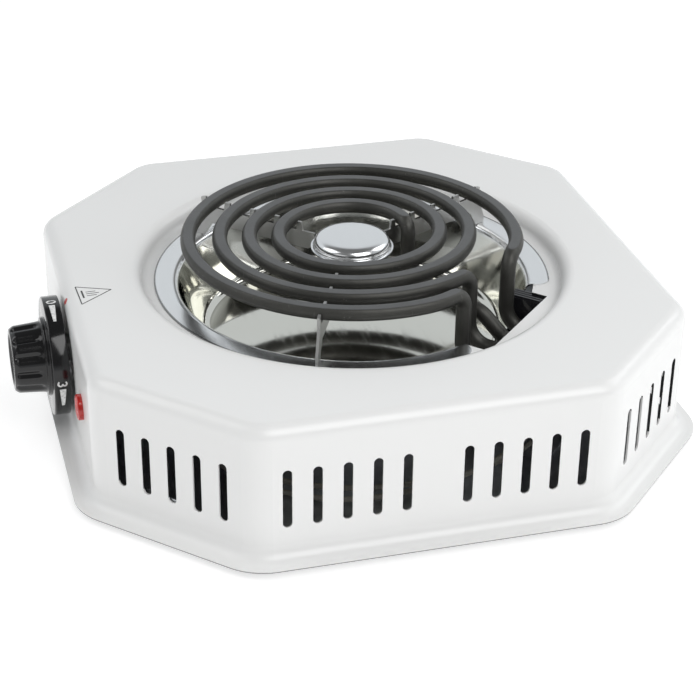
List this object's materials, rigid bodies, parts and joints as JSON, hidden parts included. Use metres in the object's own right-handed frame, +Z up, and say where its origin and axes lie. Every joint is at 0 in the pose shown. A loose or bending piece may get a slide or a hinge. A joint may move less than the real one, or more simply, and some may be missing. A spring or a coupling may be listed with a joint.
{
  "type": "hot plate burner",
  "caption": "Free-standing hot plate: octagonal enamelled housing, chrome drip pan, tip-up tubular coil element, rotary switch with knob, pilot lamp.",
  "frame": {"origin": "on the surface that the feet stand on, under the middle of the coil", "axes": "+Z up; -Y towards the knob; +X towards the right-hand wall seen from the knob side"},
  "size_m": [0.2766, 0.285, 0.0762],
  "materials": {
    "aluminised_sheet": "aluminised sheet",
    "black_phenolic": "gloss moulded phenolic",
    "black_rubber": "moulded rubber",
    "brass_parts": "brass",
    "ceramic_white": "unglazed ceramic",
    "chrome_plate": "bright chrome plate",
    "coil_sheath": "heat-blackened sheath",
    "lead_green": "sleeved earth lead",
    "lead_sleeve": "braided glass sleeve",
    "red_lens": "clear red plastic",
    "stainless_strip": "stainless strip",
    "white_enamel": "gloss enamel on pressed steel",
    "white_nylon": "moulded nylon",
    "zinc_steel": "zinc-plated steel"
  },
  "bodies": {
    "chassis": {"base_plate": "zinc_steel", "base_screws": "zinc_steel", "clamp_screws": "zinc_steel", "cord_clamp": "white_nylon", "cord_grommet": "black_rubber", "cord_saddle": "white_nylon", "drip_pan": "chrome_plate", "earth_stud": "brass_parts", "foot_1": "black_rubber", "foot_2": "black_rubber", "foot_3": "black_rubber", "foot_4": "black_rubber", "foot_screws": "zinc_steel", "heat_shield": "aluminised_sheet", "hinge_bracket": "zinc_steel", "hinge_pin": "zinc_steel", "housing": "white_enamel", "lamp_body": "white_nylon", "lamp_clip": "zinc_steel", "lamp_lens": "red_lens", "lead_earth": "lead_green", "lead_inner_coil": "lead_sleeve", "lead_lamp": "lead_sleeve", "lead_neutral": "lead_sleeve", "lead_outer_coil": "lead_sleeve", "lead_supply": "lead_sleeve", "mains_strip": "ceramic_white", "shield_spacers": "zinc_steel", "switch_body": "black_phenolic", "switch_bracket": "zinc_steel", "switch_screws": "zinc_steel", "switch_terminals": "brass_parts", "terminal_block": "black_phenolic", "wall_bracket_1": "zinc_steel", "wall_bracket_2": "zinc_steel", "wall_bracket_3": "zinc_steel", "wall_bracket_4": "zinc_steel"},
    "element": {"outer_coil": "coil_sheath", "inner_coil": "coil_sheath", "support_arm_1": "stainless_strip", "support_arm_2": "stainless_strip", "support_arm_3": "stainless_strip", "medallion_base": "chrome_plate", "medallion_cap": "chrome_plate", "medallion_rivet": "stainless_strip", "coil_bracket": "zinc_steel", "end_beads": "ceramic_white", "coil_pins": "brass_parts"},
    "dial": {"knob": "black_phenolic", "knob_clip": "zinc_steel", "switch_shaft": "zinc_steel"}
  },
  "joints": [
    {"name": "knob_turn", "type": "hinge", "parent": "chassis", "child": "dial", "pos_m": [0, -0.1265, 0.0323], "axis": [0, -1, 0], "continuous": true},
    {"name": "coil_tilt", "type": "hinge", "parent": "chassis", "child": "element", "pos_m": [0.06788, 0.06788, 0.031], "axis": [-0.7071, 0.7071, 0], "range_deg": [0, 16]}
  ]
}
